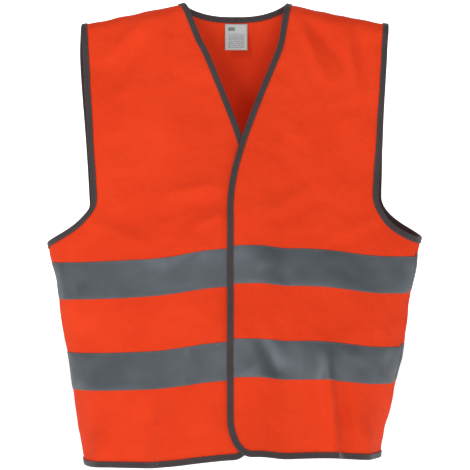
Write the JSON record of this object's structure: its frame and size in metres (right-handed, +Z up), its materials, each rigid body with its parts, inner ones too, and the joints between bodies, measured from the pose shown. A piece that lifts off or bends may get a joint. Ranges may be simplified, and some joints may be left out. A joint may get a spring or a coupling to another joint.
{
  "type": "high visibility vest",
  "caption": "Sleeveless fluorescent orange-red safety vest with grey reflective bands, bound edges and a hook and loop front.",
  "frame": {"origin": "halfway between the middles of the two shoulder seams, where the garment rests on its wearer", "axes": "+Z up, the front faces -Y, +X towards the wearer's left"},
  "size_m": [0.5122, 0.318, 0.6222],
  "materials": {
    "shell_fabric": "fluorescent orange-red knitted polyester, matt with a slight sheen",
    "reflective_tape": "grey glass-bead retroreflective tape on a woven backing, satin",
    "edge_binding": "dark grey woven polyester binding tape, matt",
    "seam_allowance": "overlocked edge of the shell fabric, matt",
    "hook_tape": "dark grey nylon hook tape",
    "loop_tape": "dark grey brushed nylon loop tape",
    "label": "white woven satin ribbon with grey care symbols"
  },
  "bodies": {
    "root": {"back_panel": "shell_fabric", "right_front_panel": "shell_fabric", "left_front_panel": "shell_fabric", "back_upper_tape": "reflective_tape", "back_lower_tape": "reflective_tape", "right_upper_tape": "reflective_tape", "right_lower_tape": "reflective_tape", "left_upper_tape": "reflective_tape", "left_lower_tape": "reflective_tape", "neck_binding": "edge_binding", "right_armhole_binding": "edge_binding", "left_armhole_binding": "edge_binding", "hem_binding": "edge_binding", "right_side_seam": "seam_allowance", "left_side_seam": "seam_allowance", "right_shoulder_seam": "seam_allowance", "left_shoulder_seam": "seam_allowance"},
    "left_flap": {"left_front_flap": "shell_fabric", "left_upper_tape_flap": "reflective_tape", "left_lower_tape_flap": "reflective_tape", "left_edge_binding": "edge_binding", "upper_hook_patch": "hook_tape", "lower_hook_patch": "hook_tape"},
    "right_flap": {"right_front_flap": "shell_fabric", "right_upper_tape_flap": "reflective_tape", "right_lower_tape_flap": "reflective_tape", "right_edge_binding": "edge_binding", "upper_loop_patch": "loop_tape", "lower_loop_patch": "loop_tape"},
    "label": {"size_label": "label"}
  },
  "joints": [
    {"name": "left_front_fold", "type": "hinge", "parent": "root", "child": "left_flap", "pos_m": [0.0713, -0.036, -0.0456], "axis": [-0.0429, 0.1838, 0.982], "range_deg": [0, 120]},
    {"name": "right_front_fold", "type": "hinge", "parent": "root", "child": "right_flap", "pos_m": [-0.0544, -0.0374, -0.0456], "axis": [0.0723, 0.1818, 0.9807], "range_deg": [-54, 0]},
    {"name": "label_flip", "type": "hinge", "parent": "root", "child": "label", "pos_m": [0.0017, 0.0217, -0.0106], "axis": [-1, 0, 0], "range_deg": [0, 150]}
  ],
  "couplings": [
    {"joint": "right_front_fold", "follows": "left_front_fold", "ratio": -0.45}
  ]
}
